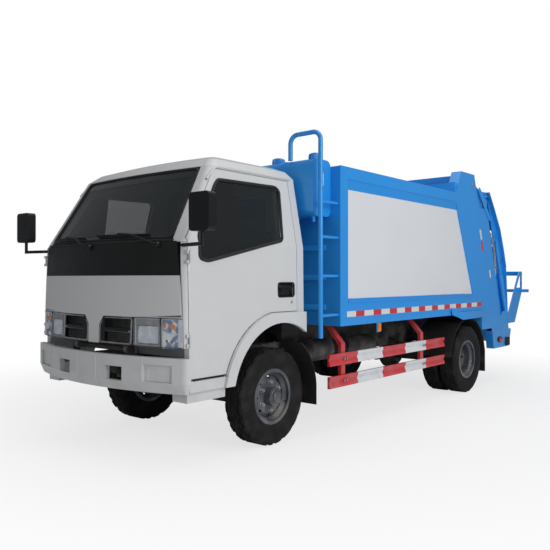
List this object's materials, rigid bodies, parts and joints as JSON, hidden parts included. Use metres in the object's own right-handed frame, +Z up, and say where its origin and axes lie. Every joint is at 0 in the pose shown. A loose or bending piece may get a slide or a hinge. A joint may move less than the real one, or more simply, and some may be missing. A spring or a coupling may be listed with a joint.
{
  "type": "rear-loading compactor refuse truck",
  "caption": "Light refuse truck with a tipping forward-control cab, closed container, lifting compactor tailgate, bin lifter and dual rear wheels.",
  "frame": {"origin": "on the ground below the middle of the truck's length and width", "axes": "+X points forward, +Y to the truck's left, +Z up"},
  "size_m": [6.65, 2.41, 2.5799],
  "materials": {
    "cab_paint": "gloss",
    "cab_trim": "satin",
    "cab_lining": "matt",
    "lamp": "clear lens over a bright reflector",
    "glass": "tinted",
    "seat_cover": "woven",
    "body_blue": "gloss",
    "body_panel": "gloss",
    "frame_black": "satin",
    "cast": "cast",
    "guard_paint": "gloss, with white bands",
    "mudguard": "matt",
    "tyre": "matt",
    "rim_paint": "satin",
    "rod_chrome": "polished",
    "tank_paint": "satin"
  },
  "bodies": {
    "chassis": {"chassis_frame": "frame_black", "front_bumper": "cab_paint", "front_axle": "cast", "rear_axle": "cast", "leaf_springs": "frame_black", "powertrain": "cast", "chassis_tanks": "tank_paint", "side_guards": "guard_paint", "mudguards": "mudguard", "container_floor": "body_blue", "container_sides": "body_panel", "container_side_frames": "body_blue", "container_roof": "body_blue", "container_front_wall": "body_blue", "container_rear_frame": "body_blue", "front_tank": "body_blue", "ladder": "body_blue"},
    "cab": {"cab_shell": "cab_paint", "cab_floor": "cab_lining", "front_panel": "cab_paint", "front_trim": "cab_trim", "headlamps": "lamp", "cab_glass": "glass", "mirrors": "cab_trim", "cab_skirts": "cab_paint", "seats": "seat_cover", "dashboard": "cab_lining"},
    "left_door": {"door_left": "cab_paint", "door_left_glass": "glass"},
    "right_door": {"door_right": "cab_paint", "door_right_glass": "glass"},
    "left_knuckle": {"knuckle_left": "cast"},
    "right_knuckle": {"knuckle_right": "cast"},
    "tie_rod": {"tie_rod": "frame_black"},
    "front_left_wheel": {"front_tyre_left": "tyre", "front_rim_left": "rim_paint"},
    "front_right_wheel": {"front_tyre_right": "tyre", "front_rim_right": "rim_paint"},
    "rear_left_wheels": {"rear_tyres_left": "tyre", "rear_rims_left": "rim_paint"},
    "rear_right_wheels": {"rear_tyres_right": "tyre", "rear_rims_right": "rim_paint"},
    "tailgate": {"tailgate_sides": "body_blue", "hopper_trough": "body_blue", "tailgate_cover": "body_blue"},
    "lift_barrels": {"lift_barrels": "frame_black"},
    "lift_rods": {"lift_rods": "rod_chrome"},
    "packer_carriage": {"packer_carriage": "body_blue"},
    "sweeper": {"sweeper_blade": "body_blue"},
    "bin_lifter": {"bin_lifter": "body_blue"},
    "ejector": {"ejector_plate": "body_blue"}
  },
  "joints": [
    {"name": "cab_tilt", "type": "hinge", "parent": "chassis", "child": "cab", "pos_m": [3.175, 0, 0.815], "axis": [0, 1, 0], "range_deg": [0, 45]},
    {"name": "left_door_hinge", "type": "hinge", "parent": "cab", "child": "left_door", "pos_m": [3.109, 0.912, 1.2], "axis": [0, 0, -1], "range_deg": [0, 65]},
    {"name": "right_door_hinge", "type": "hinge", "parent": "cab", "child": "right_door", "pos_m": [3.109, -0.912, 1.2], "axis": [0, 0, 1], "range_deg": [0, 65]},
    {"name": "steer_left", "type": "hinge", "parent": "chassis", "child": "left_knuckle", "pos_m": [2.155, 0.6, 0.3875], "axis": [0, 0, 1], "range_deg": [-32, 32]},
    {"name": "steer_right", "type": "hinge", "parent": "chassis", "child": "right_knuckle", "pos_m": [2.155, -0.6, 0.3875], "axis": [0, 0, 1], "range_deg": [-32, 32]},
    {"name": "tie_rod_pivot", "type": "hinge", "parent": "left_knuckle", "child": "tie_rod", "pos_m": [1.985, 0.6, 0.27], "axis": [0, 0, 1], "range_deg": [-32, 32]},
    {"name": "front_left_wheel_spin", "type": "hinge", "parent": "left_knuckle", "child": "front_left_wheel", "pos_m": [2.155, 0.76, 0.3875], "axis": [0, 1, 0], "continuous": true},
    {"name": "front_right_wheel_spin", "type": "hinge", "parent": "right_knuckle", "child": "front_right_wheel", "pos_m": [2.155, -0.76, 0.3875], "axis": [0, 1, 0], "continuous": true},
    {"name": "rear_left_wheels_spin", "type": "hinge", "parent": "chassis", "child": "rear_left_wheels", "pos_m": [-1.145, 0.83, 0.3875], "axis": [0, 1, 0], "continuous": true},
    {"name": "rear_right_wheels_spin", "type": "hinge", "parent": "chassis", "child": "rear_right_wheels", "pos_m": [-1.145, -0.83, 0.3875], "axis": [0, 1, 0], "continuous": true},
    {"name": "tailgate_hinge", "type": "hinge", "parent": "chassis", "child": "tailgate", "pos_m": [-1.265, 0, 2.46], "axis": [0, 1, 0], "range_deg": [0, 75]},
    {"name": "lift_barrel_swing", "type": "hinge", "parent": "chassis", "child": "lift_barrels", "pos_m": [-1.58, 0, 0.95], "axis": [0, 1, 0], "range_deg": [0, 3.3]},
    {"name": "lift_rod_slide", "type": "slide", "parent": "lift_barrels", "child": "lift_rods", "axis": [-0.0499, 0, 0.9988], "range_m": [0, 0.5215]},
    {"name": "packer_slide", "type": "slide", "parent": "tailgate", "child": "packer_carriage", "axis": [0.342, 0, 0.9397], "range_m": [0, 0.55]},
    {"name": "sweeper_swing", "type": "hinge", "parent": "packer_carriage", "child": "sweeper", "pos_m": [-2.202, 0, 0.845], "axis": [0, 1, 0], "range_deg": [0, 115]},
    {"name": "bin_lift", "type": "hinge", "parent": "tailgate", "child": "bin_lifter", "pos_m": [-2.845, 0, 0.785], "axis": [0, 1, 0], "range_deg": [0, 60]},
    {"name": "ejector_slide", "type": "slide", "parent": "chassis", "child": "ejector", "axis": [-1, 0, 0], "range_m": [0, 2.25]}
  ],
  "couplings": [
    {"joint": "steer_right", "follows": "steer_left", "ratio": 1},
    {"joint": "tie_rod_pivot", "follows": "steer_left", "ratio": -1},
    {"joint": "lift_barrel_swing", "follows": "tailgate_hinge", "ratio": 0.04395},
    {"joint": "lift_rod_slide", "follows": "tailgate_hinge", "m_per_rad": 0.39811}
  ]
}
